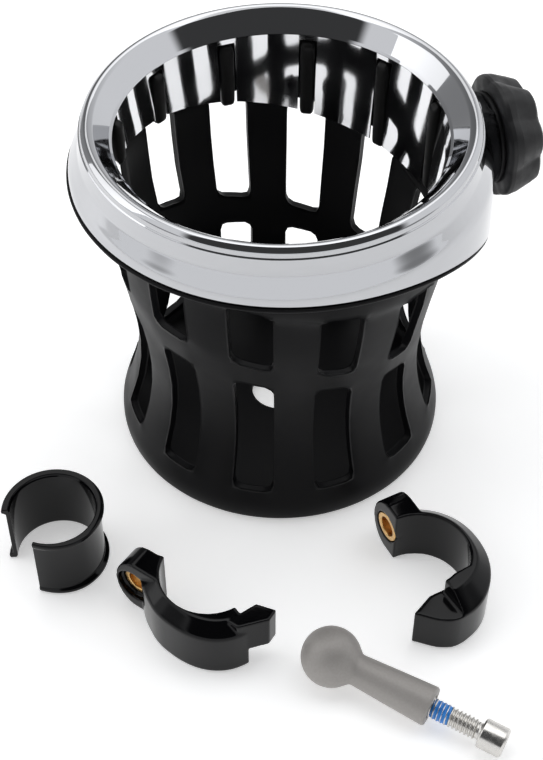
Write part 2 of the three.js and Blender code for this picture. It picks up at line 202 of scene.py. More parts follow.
def lathe(profile, sides):
    """A solid turned about Z; the profile starts and ends on the axis."""
    points = [(0, 0, profile[0][1])]
    inner = profile[1:-1]
    for r, z in inner:
        for j in range(sides):
            a = 2 * math.pi * j / sides
            points.append((r * math.cos(a), r * math.sin(a), z))
    points.append((0, 0, profile[-1][1]))
    last = len(points) - 1
    faces = []
    for j in range(sides):
        k = (j + 1) % sides
        faces.append((0, 1 + k, 1 + j))
        for i in range(len(inner) - 1):
            a, b = 1 + i * sides, 1 + (i + 1) * sides
            faces.append((a + j, a + k, b + k, b + j))
        top = 1 + (len(inner) - 1) * sides
        faces.append((top + j, top + k, last))
    return points, faces


def along_arc(section_at, start, end, steps):
    """Closed sections swept through part of a turn about Z, with capped ends."""
    points, count = placed_round(section_at, [mix(start, end, j / steps) for j in range(steps + 1)])
    faces = []
    for j in range(steps):
        for i in range(count):
            n = (i + 1) % count
            a, b = j * count, (j + 1) * count
            faces.append((a + i, b + i, b + n, a + n))
    faces.append(tuple(range(count)))
    faces.append(tuple(steps * count + i for i in reversed(range(count))))
    return points, faces


def prism(outline, bottom, top):
    """An outline in x and y carried straight up from bottom to top, outward facing."""
    count = len(outline)
    area = sum(outline[i][0] * outline[(i + 1) % count][1] - outline[(i + 1) % count][0] * outline[i][1]
               for i in range(count))
    if area < 0:
        outline = outline[::-1]
    points = [(x, y, bottom) for x, y in outline] + [(x, y, top) for x, y in outline]
    faces = [(i, (i + 1) % count, count + (i + 1) % count, count + i) for i in range(count)]
    faces.append(tuple(reversed(range(count))))
    faces.append(tuple(range(count, 2 * count)))
    return points, faces


def moved(points, matrix):
    return [tuple(matrix @ Vector(p)) for p in points]


def basis(x_axis, y_axis, z_axis, origin):
    matrix = Matrix((x_axis, y_axis, z_axis)).transposed().to_4x4()
    matrix.translation = Vector(origin)
    return matrix


def circle(radius, count, cx=0.0, cy=0.0):
    points = []
    for i in range(count):
        angle = 2 * math.pi * i / count
        points.append((cx + radius * math.cos(angle), cy + radius * math.sin(angle)))
    return points


# ---------------------------------------------------------------- materials

class Surface:
    """A Principled material with object-space noise for its colour, roughness and bump."""

    def __init__(self, name, color, roughness, metallic=0.0, **sockets):
        self.material = bpy.data.materials.new(name)
        self.material.use_nodes = True
        self.tree = self.material.node_tree
        self.shader = self.tree.nodes["Principled BSDF"]
        self.shader.inputs["Base Color"].default_value = (*color, 1)
        self.shader.inputs["Roughness"].default_value = roughness
        self.shader.inputs["Metallic"].default_value = metallic
        for key, value in sockets.items():
            self.shader.inputs[key.replace("_", " ")].default_value = value
        self.coords = self.tree.nodes.new("ShaderNodeTexCoord")
        self.height = None

    def noise(self, per_mm, detail=3.0, stretch=None):
        node = self.tree.nodes.new("ShaderNodeTexNoise")
        node.inputs["Scale"].default_value = per_mm / MM
        node.inputs["Detail"].default_value = detail
        source = self.coords.outputs["Object"]
        if stretch:
            mapping = self.tree.nodes.new("ShaderNodeMapping")
            mapping.inputs["Scale"].default_value = stretch
            self.tree.links.new(source, mapping.inputs["Vector"])
            source = mapping.outputs["Vector"]
        self.tree.links.new(source, node.inputs["Vector"])
        return node.outputs["Fac"]

    def ramp(self, fac, low, high, start=0.35, end=0.65):
        node = self.tree.nodes.new("ShaderNodeMapRange")
        node.inputs["From Min"].default_value = start
        node.inputs["From Max"].default_value = end
        node.inputs["To Min"].default_value = low
        node.inputs["To Max"].default_value = high
        self.tree.links.new(fac, node.inputs["Value"])
        return node.outputs["Result"]

    def vary_roughness(self, per_mm, low, high, detail=3.0, stretch=None):
        value = self.ramp(self.noise(per_mm, detail, stretch), low, high)
        self.tree.links.new(value, self.shader.inputs["Roughness"])
        return self

    def vary_color(self, per_mm, first, second, start=0.35, end=0.65, detail=3.0):
        node = self.tree.nodes.new("ShaderNodeMix")
        node.data_type = "RGBA"
        node.inputs["A"].default_value = (*first, 1)
        node.inputs["B"].default_value = (*second, 1)
        self.tree.links.new(self.ramp(self.noise(per_mm, detail), 0, 1, start, end), node.inputs["Factor"])
        self.tree.links.new(node.outputs["Result"], self.shader.inputs["Base Color"])
        return self

    def bump(self, per_mm, depth_mm, strength=1.0, detail=3.0, stretch=None):
        node = self.tree.nodes.new("ShaderNodeBump")
        node.inputs["Strength"].default_value = strength
        node.inputs["Distance"].default_value = depth_mm * MM
        self.tree.links.new(self.noise(per_mm, detail, stretch), node.inputs["Height"])
        if self.height:
            self.tree.links.new(self.height, node.inputs["Normal"])
        self.height = node.outputs["Normal"]
        self.tree.links.new(self.height, self.shader.inputs["Normal"])
        return self


def make_materials():
    made = {}
    made["basket"] = Surface("satin_black_plastic", (0.003, 0.003, 0.0036), 0.4, Specular_IOR_Level=0.11)
    made["basket"].vary_roughness(0.08, 0.37, 0.47).bump(2.2, 0.012, 0.5).bump(0.09, 0.25, 0.18)
    made["chrome"] = Surface("bright_chrome", (0.49, 0.495, 0.51), 0.035, 1.0)
    made["chrome"].vary_roughness(0.05, 0.02, 0.06).bump(0.06, 0.03, 0.12)
    made["mirror"] = Surface("polished_liner", (0.72, 0.725, 0.74), 0.05, 1.0)
    made["mirror"].vary_roughness(0.07, 0.03, 0.08).bump(0.08, 0.12, 0.25, stretch=(1, 1, 0.5))
    made["rubber"] = Surface("soft_black_rubber", (0.004, 0.004, 0.004), 0.38, Specular_IOR_Level=0.2)
    made["rubber"].vary_roughness(0.3, 0.36, 0.5).bump(3.0, 0.01, 0.4)
    made["socket"] = Surface("socket_plastic", (0.006, 0.006, 0.0065), 0.45, Specular_IOR_Level=0.2)
    made["socket"].vary_roughness(0.2, 0.4, 0.5).bump(2.5, 0.012, 0.5)
    made["knob"] = Surface("textured_knob_plastic", (0.0085, 0.0085, 0.0095), 0.46, Specular_IOR_Level=0.35)
    made["knob"].vary_roughness(0.35, 0.4, 0.56).bump(2.6, 0.05, 0.7).bump(0.7, 0.05, 0.3)
    made["gloss"] = Surface("gloss_black_coat", (0.0015, 0.0015, 0.002), 0.11, Specular_IOR_Level=0.2)
    made["gloss"].vary_roughness(0.12, 0.09, 0.15).bump(0.22, 0.05, 0.16)
    made["brass"] = Surface("plain_brass", (0.74, 0.47, 0.19), 0.28, 1.0)
    made["brass"].vary_roughness(0.5, 0.22, 0.36).bump(1.6, 0.02, 0.4)
    made["stud"] = Surface("blasted_grey_metal", (0.34, 0.322, 0.306), 0.5, 0.25)
    made["stud"].vary_color(1.6, (0.33, 0.313, 0.297), (0.35, 0.332, 0.315)).vary_roughness(1.2, 0.46, 0.56)
    made["stud"].bump(3.4, 0.03, 0.55)
    made["bolt"] = Surface("bright_nickel", (0.62, 0.605, 0.58), 0.24, 1.0)
    made["bolt"].vary_roughness(0.6, 0.2, 0.32).bump(1.1, 0.02, 0.3)
    made["patch"] = Surface("blue_lock_film", (0.014, 0.19, 0.62), 0.34)
    made["patch"].vary_color(0.9, (0.012, 0.17, 0.56), (0.03, 0.25, 0.7)).bump(1.6, 0.06, 0.6)
    return {key: value.material for key, value in made.items()}


LOOK = make_materials()


# ---------------------------------------------------------------- shared lines of the cup

def liner_bottom(x, y):
    return 78.4 - 0.2 * x - 0.02 * y


def upper_bottom(x, y):
    return 50.5 - 0.24 * x - 0.15 * y


def lower_top(x, y):
    return 42.5 - 0.18 * x - 0.16 * y


def hem(angle):
    """Height of the bezel's lower edge, which dips round the socket."""
    away = abs((angle - SOCKET_AZIMUTH + 180) % 360 - 180)
    return 92.2 - 21.0 * math.exp(-((away / 48.0) ** 2))


def upper_top(x, y):
    return min(liner_bottom(x, y) + 1.0, hem(math.degrees(math.atan2(y, x))) - 5.0)


wall_radius = spline([(0, 46.4), (1.6, 47.1), (4.2, 47.1), (10, 45.2), (18, 42.6), (26, 41.0), (34, 40.5),
                      (44, 41.3), (56, 43.3), (66, 45.0), (90, 46.4)])
skirt_radius = spline([(70, 56.2), (80, 56.0), (88, 55.7), (92.2, 55.3), (94.2, 54.9), (96.4, 53.8),
                       (99.3, 52.3)])


# ---------------------------------------------------------------- basket

def basket():
    """The moulded cup: a grid of columns and rows, with the window cells left open and walled."""
    half = WINDOW_HALF_ANGLE
    # Column places: inside a window they are degrees from its middle, on a rib they are shares
    inside = [-half, -half + 3.2, 0.0, half - 3.2, half]
    shares = [0.2, 0.5, 0.8]
    columns = []
    for w in range(WINDOWS):
        centre = WINDOW_PHASE + WINDOW_STEP * w
        columns += [(centre, "in", s) for s in inside]
        columns += [(centre, "rib", t) for t in shares]

    def column_angle(column):
        centre, kind, value = column
        return centre + value if kind == "in" else centre + mix(half, WINDOW_STEP - half, value)

    def column_rows(column):
        middle = math.radians(column_angle(column))
        cx, sy = math.cos(middle), math.sin(middle)
        low_top = lower_top(42 * cx, 42 * sy)
        up_low = upper_bottom(43 * cx, 43 * sy)
        up_top = upper_top(43 * cx, 43 * sy)
        ledge = liner_bottom(LINER_OUTSIDE * cx, LINER_OUTSIDE * sy) - 0.5
        edge = hem(math.degrees(middle)) - 0.35
        soft = WINDOW_CORNER
        heights = [6.4, 8.0, WINDOW_SILL, WINDOW_SILL + soft]
        heights += [mix(WINDOW_SILL + soft, low_top - soft, t) for t in (0.2, 0.4, 0.6, 0.8)]
        heights += [low_top - soft, low_top, mix(low_top, up_low, 0.5), up_low, up_low + soft]
        heights += [mix(up_low + soft, up_top - soft, t) for t in (0.33, 0.67)]
        heights += [up_top - soft]
        outer = [(DRAIN_RADIUS, 3.0), (DRAIN_RADIUS, 2.5), (DRAIN_RADIUS + 0.4, 2.2), (24, 2.2), (38, 2.2),
                 (41.2, 1.8), (43.2, 0.2), (43.8, 0.0), (45.8, 0.0), (46.8, 0.5), (47.1, 1.8), (47.1, 4.2)]
        outer += [(wall_radius(z), z) for z in heights]
        inner = [(wall_radius(z) - BASKET_WALL, z) for z in heights]
        # Neck, flange under the bezel, and the upright that carries the liner
        if up_top > ledge:
            outer.append((47.3, up_top))
            inner.append((46.35, up_top))
            outer.append((47.9, mix(up_top, edge - 2, 0.5)))
            inner.append((46.4, up_top + 2))
        else:
            outer.append((wall_radius(up_top), up_top))
            inner.append((wall_radius(up_top) - BASKET_WALL, up_top))
            outer.append((47.0, mix(up_top, edge - 2, 0.6)))
            inner.append((42.0, ledge - 0.2))
        outer += [(48.6, edge - 2.3), (49.6, edge - 1.7), (54.4, edge - 1.45), (55.5, edge - 1.25),
                  (55.9, edge - 0.8), (55.85, edge - 0.15), (55.3, edge), (50, edge), (48.8, edge + 0.6),
                  (48.8, 96.4), (48.4, 97.0)]
        top = [(46.8, 97.0), (46.4, 96.4), (46.4, max(ledge, up_top) + 4)]
        bottom = [(44.3, 7.4), (43.6, 5.6), (41.5, 5.0), (24, 5.0), (DRAIN_RADIUS + 0.4, 5.0),
                  (DRAIN_RADIUS, 4.6)]
        return outer, top, inner, bottom

    first_wall = 12
    low_edges = (first_wall + 2, first_wall + 9)
    high_edges = (first_wall + 11, first_wall + 16)
    corner_rows = {low_edges[0]: 1, low_edges[1]: -1, high_edges[0]: 1, high_edges[1]: -1}
    points, count = [], 0
    inner_row = {}
    for column in columns:
        outer, top, inner, bottom = column_rows(column)
        section = outer + top + inner[::-1] + bottom
        count = len(section)
        wall_rows = len(inner)
        start = len(outer) + len(top)
        for i in range(wall_rows):
            inner_row[first_wall + i] = start + wall_rows - 1 - i
        wall_row = {i: i for i in range(first_wall, first_wall + wall_rows)}
        wall_row.update({back: front for front, back in inner_row.items()})
        for i, (r, z) in enumerate(section):
            angle = column_angle(column)
            row = wall_row.get(i)
            if column[1] == "in" and abs(column[2]) == half and row in corner_rows:
                angle -= math.copysign(math.degrees(0.3 * WINDOW_CORNER / r), column[2])
                z += 0.3 * WINDOW_CORNER * corner_rows[row]
            angle = math.radians(angle)
            points.append((r * math.cos(angle), r * math.sin(angle), z))
    total = len(columns)
    per = len(inside) + len(shares)
    open_cells = set()
    for w in range(WINDOWS):
        for c in range(len(inside) - 1):
            for low, high in (low_edges, high_edges):
                for row in range(low, high):
                    open_cells.add((w * per + c, row))

    def at(c, i):
        return (c % total) * count + i

    skin = {}
    for c in range(total):
        for i in range(count):
            if (c, i) in open_cells:
                continue
            n = (i + 1) % count
            skin[(c, i)] = (at(c, i), at(c + 1, i), at(c + 1, n), at(c, n))
    for c, row in open_cells:
        skin.pop((c, inner_row[row + 1]), None)
    faces = list(skin.values())
    # Jambs, sills and heads of the windows
    for c, row in open_cells:
        a, b = inner_row[row], inner_row[row + 1]
        if (c - 1, row) not in open_cells:
            faces.append((at(c, row), at(c, row + 1), at(c, b), at(c, a)))
        if (c + 1, row) not in open_cells:
            faces.append((at(c + 1, row), at(c + 1, a), at(c + 1, b), at(c + 1, row + 1)))
        if (c, row - 1) not in open_cells:
            faces.append((at(c, row), at(c, a), at(c + 1, a), at(c + 1, row)))
        if (c, row + 1) not in open_cells:
            faces.append((at(c, row + 1), at(c + 1, row + 1), at(c + 1, b), at(c, b)))
    obj = mesh_object("basket_moulding", points, faces, "holder", ["basket"], LOOK["basket"], 180)
    soften = obj.modifiers.new("soften", "SUBSURF")
    soften.levels = soften.render_levels = 2
    apply_modifiers(obj)
    shade(obj, 180)


# ---------------------------------------------------------------- bezel, liner and fins

def bezel():
    fine = [SOCKET_AZIMUTH + a * 0.7 for a in range(-34, 35)]
    rest = [SOCKET_AZIMUTH + mix(24.0, 336.0, j / 208) for j in range(1, 208)]
    angles = fine + rest
    crown = rounded([(52.2, 99.6, 0.3), (51.75, 104.0, 0.25), (51.35, 104.3, 0.15), (51.2, 105.5, 1.0),
                     (49.6, 107.0, 2.0), (47.9, 105.9, 2.0), (44.0, 101.6, 0.5),
                     (43.3, 101.05, 0.2)], 6, False)
    under = [(43.4, 100.85), (44.8, 101.0), (47.6, 104.2), (49.6, 104.6), (50.8, 98.9)]

    def section(angle):
        low = hem(angle)
        outer, inner = [], []
        for j in range(17):
            z = mix(low + 0.25, 99.0, (j / 16) ** 0.85)
            outer.append((skirt_radius(z), z))
            inner.append((skirt_radius(z + 0.3) - 1.5, min(z, 98.0)))
        edge = [(skirt_radius(low) - 1.3, low), (skirt_radius(low) - 0.25, low)]
        return edge + outer + crown + under + inner[::-1]

    points, faces = ring_of_sections(section, angles)
    points = [raised_pad(p) for p in points]
    mesh_object("bezel_casting", points, faces, "holder", ["bezel_ring"], LOOK["chrome"], 38)


def raised_pad(point):
    """Draws the skirt out into a flat round pad under the hand nut."""
    x, y, z = point
    c, s = math.cos(math.radians(SOCKET_AZIMUTH)), math.sin(math.radians(SOCKET_AZIMUTH))
    out, side = x * c + y * s, -x * s + y * c
    away = math.hypot(side, z - SOCKET_HEIGHT)
    if out < 48 or away > 16 or z > 99.4:
        return point
    skin = math.hypot(x, y) > skirt_radius(z) - 0.7
    target = 57.3 if skin else 55.8
    share = 1 - smoothstep((away - 12.2) / 2.2)
    out = mix(out, max(out, target), share)
    return (out * c - side * s, out * s + side * c, z)


def liner_radius(z):
    """Inside radius of the mirror band, which opens a little towards the mouth."""
    rise = z - 78
    return max(42.15, 42.4 + 0.065 * rise + 0.0008 * rise * rise)


def liner():
    """The mirror band: twelve panels between the fins, joined along the top."""
    half = 2.5
    inside = [-half, 0.0, half]
    shares = [0.06, 0.28, 0.5, 0.72, 0.94]
    columns = []
    for w in range(WINDOWS):
        centre = WINDOW_PHASE + WINDOW_STEP * w
        edge = math.degrees(math.asin(half / LINER_OUTSIDE))
        columns += [centre + math.degrees(math.asin(s / LINER_OUTSIDE)) for s in inside]
        columns += [centre + mix(edge, WINDOW_STEP - edge, t) for t in shares]
    points, faces = [], []
    rows = 12
    for angle in columns:
        c, s = math.cos(math.radians(angle)), math.sin(math.radians(angle))
        low = liner_bottom(LINER_OUTSIDE * c, LINER_OUTSIDE * s)
        for wall in (0.6, 0.0):
            for i in range(rows):
                z = mix(low, 98.9, i / (rows - 2)) if i < rows - 1 else 100.6
                radius = liner_radius(z) + wall
                points.append((radius * c, radius * s, z))
    per, total = len(inside) + len(shares), len(columns)

    def at(c, side, i):
        return ((c % total) * 2 + side) * rows + i

    opened = {(w * per + c, i) for w in range(WINDOWS) for c in range(2) for i in range(rows - 2)}
    for c in range(total):
        for i in range(rows - 1):
            if (c, i) in opened:
                continue
            faces.append((at(c, 0, i), at(c + 1, 0, i), at(c + 1, 0, i + 1), at(c, 0, i + 1)))
            faces.append((at(c, 1, i), at(c, 1, i + 1), at(c + 1, 1, i + 1), at(c + 1, 1, i)))
            if i == 0 or (c, i - 1) in opened:
                faces.append((at(c, 0, i), at(c, 1, i), at(c + 1, 1, i), at(c + 1, 0, i)))
            if i == rows - 2:
                faces.append((at(c, 0, i + 1), at(c + 1, 0, i + 1), at(c + 1, 1, i + 1), at(c, 1, i + 1)))
            if ((c - 1) % total, i) in opened:
                faces.append((at(c, 0, i), at(c, 0, i + 1), at(c, 1, i + 1), at(c, 1, i)))
            if ((c + 1) % total, i) in opened:
                faces.append((at(c + 1, 0, i), at(c + 1, 1, i), at(c + 1, 1, i + 1), at(c + 1, 0, i + 1)))
    mesh_object("liner_band", points, faces, "holder", ["mirror_liner"], LOOK["mirror"], 35)


def fins():
    """Rubber fins: a rounded nose, a soft lower tip and a slim root behind the liner."""
    for w in range(WINDOWS):
        angle = math.radians(WINDOW_PHASE + WINDOW_STEP * w)
        out = Vector((math.cos(angle), math.sin(angle), 0))
        side = Vector((-math.sin(angle), math.cos(angle), 0))
        line = liner_bottom(out.x * 43, out.y * 43)
        tip = line - 1.6 if upper_top(out.x * 43, out.y * 43) > line else line + 0.3
        rows = [(tip, 0.45, 1.6), (tip + 0.25, 0.75, 0.85), (tip + 0.9, 0.94, 0.35), (tip + 2.2, 1.0, 0.05),
                (mix(tip, 98.6, 0.5), 1.0, 0.0), (96.0, 0.98, 0.05), (97.4, 0.9, 0.5), (98.2, 0.72, 1.2),
                (98.55, 0.4, 2.0)]
        section = [(2.1, 2.9), (2.1, 2.0), (2.05, 1.3), (1.6, 0.45), (0.75, 0.05), (0, 0), (-0.75, 0.05),
                   (-1.6, 0.45), (-2.05, 1.3), (-2.1, 2.0), (-2.1, 2.9)]
        points = []
        for z, wide, back in rows:
            for s, d in section:
                depth = min(2.9, max(d, back))
                place = out * (FIN_NOSE + depth) + side * (s * wide)
                points.append((place.x, place.y, z))
        n = len(section)
        faces = []
        for i in range(len(rows) - 1):
            for j in range(n):
                k = (j + 1) % n
                faces.append((i * n + j, (i + 1) * n + j, (i + 1) * n + k, i * n + k))
        faces.append(tuple(range(n)))
        faces.append(tuple((len(rows) - 1) * n + j for j in reversed(range(n))))
        label = f"{w + 1:02d}"
        obj = mesh_object(f"fin_rubber_{label}", points, faces, f"fin_{label}", [f"grip_fin_{label}"],
                          LOOK["rubber"], 60)
        soften = obj.modifiers.new("soften", "SUBSURF")
        soften.levels = soften.render_levels = 1


# ---------------------------------------------------------------- hand nut and socket

def socket_frame():
    angle = math.radians(SOCKET_AZIMUTH)
    out = Vector((math.cos(angle), math.sin(angle), 0))
    side = Vector((-math.sin(angle), math.cos(angle), 0))
    return basis(side, Vector((0, 0, 1)), out, (0, 0, SOCKET_HEIGHT))


def hand_nut():
    """The lobed nut: a turned shape whose outside dips between the lobes, deeper away from the cup."""
    lobes, sides = 7, 168
    outer = rounded([(15.9, 58.6, 0.2), (16.6, 59.2, 0.4), (16.8, 60.2, 0.5), (16.5, 62.2, 2),
                     (15.1, 66.0, 2), (14.0, 68.5, 0.8), (12.8, 69.2, 0.6)], 4, False)
    inner = rounded([(9.75, 69.2, 0.2), (9.95, 68.3, 0.4), (9.95, 59.2, 0.3), (10.6, 58.6, 0.3)], 3, False)
    plain = outer + [(11.6, 69.2), (10.4, 69.2)] + inner + [(12.5, 58.6)]

    def section(angle):
        wave = 0.5 + 0.5 * math.cos(math.radians(angle * lobes))
        dip = 1 - wave ** 0.55
        lobed = []
        for r, z in plain:
            ease = smoothstep((r - 11.0) / 2.2)
            deep = 0.8 + 1.2 * smoothstep((z - 59.6) / 5)
            lobed.append((r - dip * deep * ease, z))
        return lobed

    points, faces = ring_of_sections(section, [360.0 * j / sides for j in range(sides)])
    points = moved(points, socket_frame())
    mesh_object("hand_nut_moulding", points, faces, "hand_nut", ["clamp_knob"], LOOK["knob"], 50)


def thrust_collar():
    section = rounded([(10.1, 57.4, 0.2), (12.6, 57.4, 0.3), (12.6, 58.5, 0.3), (10.1, 58.5, 0.2)], 4)
    points, faces = ring_of_sections(lambda a: section, [a * 4.0 for a in range(90)])
    points = moved(points, socket_frame())
    mesh_object("collar_disc", points, faces, "holder", ["thrust_collar"], LOOK["socket"], 45)


# ---------------------------------------------------------------- loose pieces

def reducer_sleeve():
    middle, half = SLEEVE_GAP
    first = middle + half

    def section(angle):
        lip = mix(12.95, 13.8, smoothstep((angle - first) / 60))
        return rounded([(11.5, 0.9, 0.3), (11.9, 0.05, 0.4), (lip - 0.3, 0.05, 0.3), (lip, 0.5, 0.35),
                        (lip, 1.3, 0.35), (12.7, 2.0, 0.5), (12.7, 19.0, 0.5), (lip, 19.7, 0.35),
                        (lip, 20.5, 0.35), (lip - 0.3, 21.0, 0.3), (11.9, 21.0, 0.4), (11.5, 20.1, 0.3)], 3)

    points, faces = along_arc(section, first, first + 360 - 2 * half, 110)
    points = [(x + SLEEVE_CENTRE[0], y + SLEEVE_CENTRE[1], z) for x, y, z in points]
    obj = mesh_object("sleeve_moulding", points, faces, "sleeve", ["reducer_sleeve"], LOOK["gloss"],
                      40)
    soften_edges(obj, 0.25, 3, 50)


def solid(points, faces):
    """A rough solid for casting, in no material and on no body."""
    data = bpy.data.meshes.new("tool")
    data.from_pydata([tuple(c * MM for c in p) for p in points], [], faces)
    obj = bpy.data.objects.new("tool", data)
    bpy.context.scene.collection.objects.link(obj)
    return obj


def combine(base, tool, operation):
    step = base.modifiers.new("step", "BOOLEAN")
    step.operation, step.object, step.solver = operation, tool, "EXACT"
    apply_modifiers(base)
    bpy.data.objects.remove(tool)


def cast_piece(name, adds, cuts, body, stands_for, material, voxel=0.28, rounds=8):
    """Joins and cuts rough solids, then melts them into one casting with soft edges."""
    base = solid(*adds[0])
    for shape in adds[1:]:
        combine(base, solid(*shape), "UNION")
    for shape in cuts:
        combine(base, solid(*shape), "DIFFERENCE")
    melt = base.modifiers.new("melt", "REMESH")
    melt.mode, melt.voxel_size, melt.use_smooth_shade = "VOXEL", voxel * MM, True
    calm = base.modifiers.new("calm", "SMOOTH")
    calm.factor, calm.iterations = 0.5, rounds
    apply_modifiers(base)
    base.name = name
    finish_object(base, body, stands_for, material, 180)


def on_table(spot):
    """The place of a loose piece from its x, y and turn in degrees."""
    x, y, turn = spot
    matrix = Matrix.Rotation(math.radians(turn), 4, "Z")
    matrix.translation = Vector((x, y, 0))
    return matrix


def clamp_section(inner, outer, fall=3.4, run=3.6):
    """A clamp arc cut across: its top outer corner falls away by the given height and width."""
    return rounded([(inner, TABLE_GAP, 0.3), (outer - 0.3, TABLE_GAP, 0.5), (outer, 0.6, 0.3),
                    (outer, CLAMP_HEIGHT - fall, 1.2), (outer - run, CLAMP_HEIGHT, 1.2),
                    (inner, CLAMP_HEIGHT, 0.3)], 4)


def bolt_frame(origin):
    """A clamp's own frame for shapes that lie along its bolt: their Z points along -Y."""
    return basis(Vector((1, 0, 0)), Vector((0, 0, 1)), Vector((0, -1, 0)), origin)


def clamp_ear(sign, near, far, back, front):
    """The ear that carries the bolt: square towards the bar and rounded at its far side."""
    centre = 17.3
    middle = CLAMP_HEIGHT / 2
    outline = [(near, TABLE_GAP), (centre, TABLE_GAP)]
    for i in range(1, 24):
        a = math.radians(-90 + 7.5 * i)
        outline.append((centre + (far - centre) * math.cos(a), middle + (middle - TABLE_GAP) * math.sin(a)))
    outline += [(centre, CLAMP_HEIGHT), (near, CLAMP_HEIGHT)]
    points, faces = prism([(sign * t, z) for t, z in outline], 0, front - back)
    return moved(points, bolt_frame((0, front, 0))), faces


def along_bolt(radius, t, start, end, sides=48):
    """A round rod along the bolt, t from the clamp's middle."""
    points, faces = prism(circle(radius, sides), 0, end - start)
    return moved(points, bolt_frame((t, end, CLAMP_HEIGHT / 2))), faces


def put(shape, spot):
    """A shape in a clamp's own frame, set in its place on the table."""
    return moved(shape[0], on_table(spot)), shape[1]


def left_clamp():
    spot = LEFT_CLAMP
    outer = lambda a: 17.0 + 2.6 * smoothstep((a - 262) / 66) + 1.2 * smoothstep((242 - a) / 38)
    arc = along_arc(lambda a: clamp_section(BAR_SEAT, outer(a)), 192, 338, 90)
    ear = clamp_ear(-1, 9, 23.6, -10.2, -3.1)
    hook_outline = [(13.2, -9.8), (16.4, -9.8), (21.6, -3.2), (21.3, 0.4), (15.9, -1.0), (14.6, -4.6)]
    hook = prism(hook_outline, 7, CLAMP_HEIGHT)
    adds = [put(s, spot) for s in (arc, ear, hook)]
    bore = prism(circle(BAR_SEAT, 120), -5, 25)
    hole = along_bolt(BOLT_HOLE, -BOLT_OFFSET, -12, 0)
    recess = along_bolt(BOLT_RECESS, -BOLT_OFFSET, -26, -8.6)
    cuts = [put(s, spot) for s in (bore, hole, recess)]
    cast_piece("clamp_left_casting", adds, cuts, "left_clamp", ["clamp_half_left"], LOOK["gloss"])


def right_clamp():
    spot = RIGHT_CLAMP
    inner = lambda a: mix(BAR_SEAT, 10.2, smoothstep((-a - 125) / 35))
    outer = lambda a: mix(17.4, 19.6, smoothstep((-a - 85) / 80))
    near_end = lambda a: smoothstep((-a - 112) / 60)

    def section(a):
        fall = mix(3.4, 5.0, near_end(a))
        run = mix(3.6, 5.6, near_end(a))
        return clamp_section(inner(a), outer(a), fall, run)

    arc = along_arc(section, -176, 0, 110)
    ear = clamp_ear(1, 9, 24.2, -7.2, -0.02)
    tongue_edge = []
    for i in range(25):
        a, reach = math.radians(190 - 2 * i), mix(19.6, 16.0, smoothstep((i - 4) / 20))
        tongue_edge.append((reach * math.cos(a), reach * math.sin(a)))
    tongue = prism([(-9.7, -3.2)] + tongue_edge + [(-9.7, 3.3)], TABLE_GAP, CLAMP_HEIGHT - 5)
    adds = [put(s, spot) for s in (arc, ear, tongue)]
    bore = prism([p for p in circle(BAR_SEAT, 120) if p[0] > -9.2], -5, 25)
    cuts = [put(s, spot) for s in (bore, along_bolt(BOLT_HOLE, BOLT_OFFSET, -26, 4))]
    cast_piece("clamp_right_casting", adds, cuts, "right_clamp", ["clamp_half_right"], LOOK["gloss"])


def bush(name, node, body, t, start, end, spot):
    length = end - start
    section = rounded([(2.9, 0, 0.35), (4.35, 0, 0.25), (4.35, length, 0.25), (2.9, length, 0.35)], 4)
    points, faces = ring_of_sections(lambda a: section, [a * 5.0 for a in range(72)])
    points = moved(moved(points, bolt_frame((t, end, CLAMP_HEIGHT / 2))), on_table(spot))
    mesh_object(name, points, faces, body, [node], LOOK["brass"], 50)


def stud_frame():
    turn, dip = math.radians(STUD_TURN), math.radians(STUD_DIP)
    along = Vector((math.cos(turn) * math.cos(dip), math.sin(turn) * math.cos(dip), -math.sin(dip)))
    side = Vector((-math.sin(turn), math.cos(turn), 0))
    return basis(side, along.cross(side), along, STUD_ORIGIN)


def ball_stud():
    ball = 7.94
    profile = [(0, -ball)]
    for i in range(1, 40):
        a = math.radians(-90 + 3.5 * i)
        profile.append((ball * math.cos(a), ball * math.sin(a)))
    neck = rounded([profile[-1] + (0,), (4.15, 7.2, 1.4), (4.3, 10.0, 6), (4.75, 18, 20),
                    (5.25, 28.0, 0.35), (4.9, 28.5, 0.3), (3.3, 28.5, 0.2), (3.2, 28.0, 0.2),
                    (3.2, 16.4, 0)], 5, False)
    profile += neck[1:] + [(0, 15.0)]
    points, faces = lathe(profile, 96)
    mesh_object("stud_casting", moved(points, stud_frame()), faces, "stud", ["ball_stud"], LOOK["stud"],
                50)


def thread_radius(height, turn, root, crest):
    """Radius of a helical thread at a height along it and an angle in turns."""
    place = (height / THREAD_PITCH - turn) % 1.0
    ridge = abs(place - 0.5) * 2
    return mix(crest, root, smoothstep((ridge - 0.12) / 0.76))


def thread_grid(start, end, root, crest, turns_from=0.0, turns_to=1.0, sides=56):
    """Rows of points on a thread between two heights."""
    rows = []
    steps = int((end - start) / 0.1)
    full = turns_to - turns_from >= 1.0
    for i in range(steps + 1):
        z = mix(start, end, i / steps)
        row = []
        for j in range(sides if full else sides + 1):
            turn = mix(turns_from, turns_to, j / sides)
            fade = smoothstep((z - start) / 0.9) * smoothstep((end - z) / 0.9)
            r = mix(root, thread_radius(z, turn, root, crest), fade)
            a = 2 * math.pi * turn
            row.append((r * math.cos(a), r * math.sin(a), z))
        rows.append(row)
    return rows


